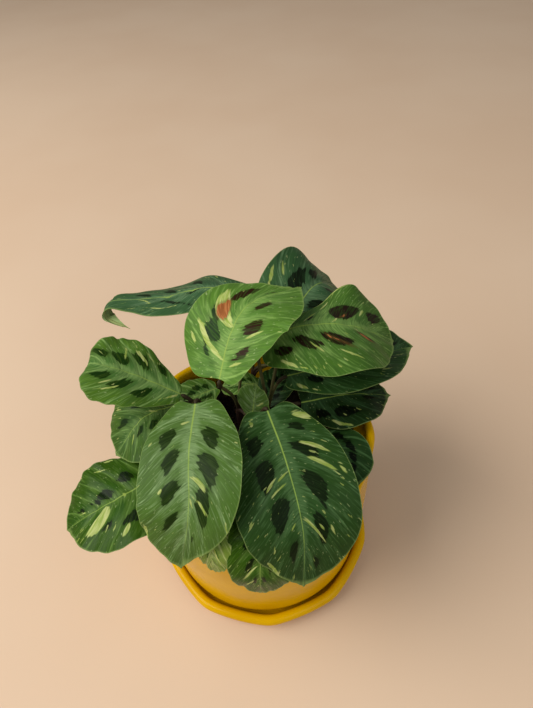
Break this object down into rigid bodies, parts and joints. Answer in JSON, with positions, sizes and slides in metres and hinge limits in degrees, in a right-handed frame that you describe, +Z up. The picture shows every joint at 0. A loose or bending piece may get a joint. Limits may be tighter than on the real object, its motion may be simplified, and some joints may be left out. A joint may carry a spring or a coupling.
{
  "type": "potted maranta",
  "caption": "Prayer plant with broad green leaves blotched dark between the veins, on short stems in a round glazed pot that stands in its own saucer with a rolled rim.",
  "frame": {"origin": "centre of the saucer's flat underside, on the axis of the pot", "axes": "+Z up along the pot's axis, -Y to the front, where the two largest leaves hang over the rim, +X to the right"},
  "size_m": [0.1929, 0.1767, 0.1841],
  "materials": {
    "glaze": "gloss",
    "potting_mix": "matte",
    "stem": "satin",
    "leaf_pale": "satin",
    "leaf_dark": "satin"
  },
  "bodies": {
    "root": {"saucer": "glaze", "pot": "glaze", "potting_mix": "potting_mix", "stem_left": "stem", "stem_front": "stem", "stem_middle": "stem", "stem_right": "stem", "stem_back": "stem", "leaf_front_left": "leaf_pale", "leaf_front_right": "leaf_dark", "leaf_front_low": "leaf_dark", "leaf_front_pale": "leaf_pale", "leaf_low_left": "leaf_dark", "leaf_mid_left": "leaf_pale", "leaf_left": "leaf_pale", "leaf_top_left": "leaf_dark", "leaf_top_middle": "leaf_pale", "leaf_top_right": "leaf_pale", "leaf_top_back": "leaf_dark", "leaf_right": "leaf_dark", "leaf_low_right": "leaf_dark", "leaf_far_right": "leaf_dark", "leaf_middle": "leaf_dark", "leaf_inner_left": "leaf_pale", "leaf_inner_back": "leaf_dark", "leaf_inner_right": "leaf_dark", "leaf_back_left": "leaf_dark", "leaf_back_middle": "leaf_pale", "leaf_back_right": "leaf_pale", "leaf_back_far_right": "leaf_dark"}
  },
  "joints": []
}
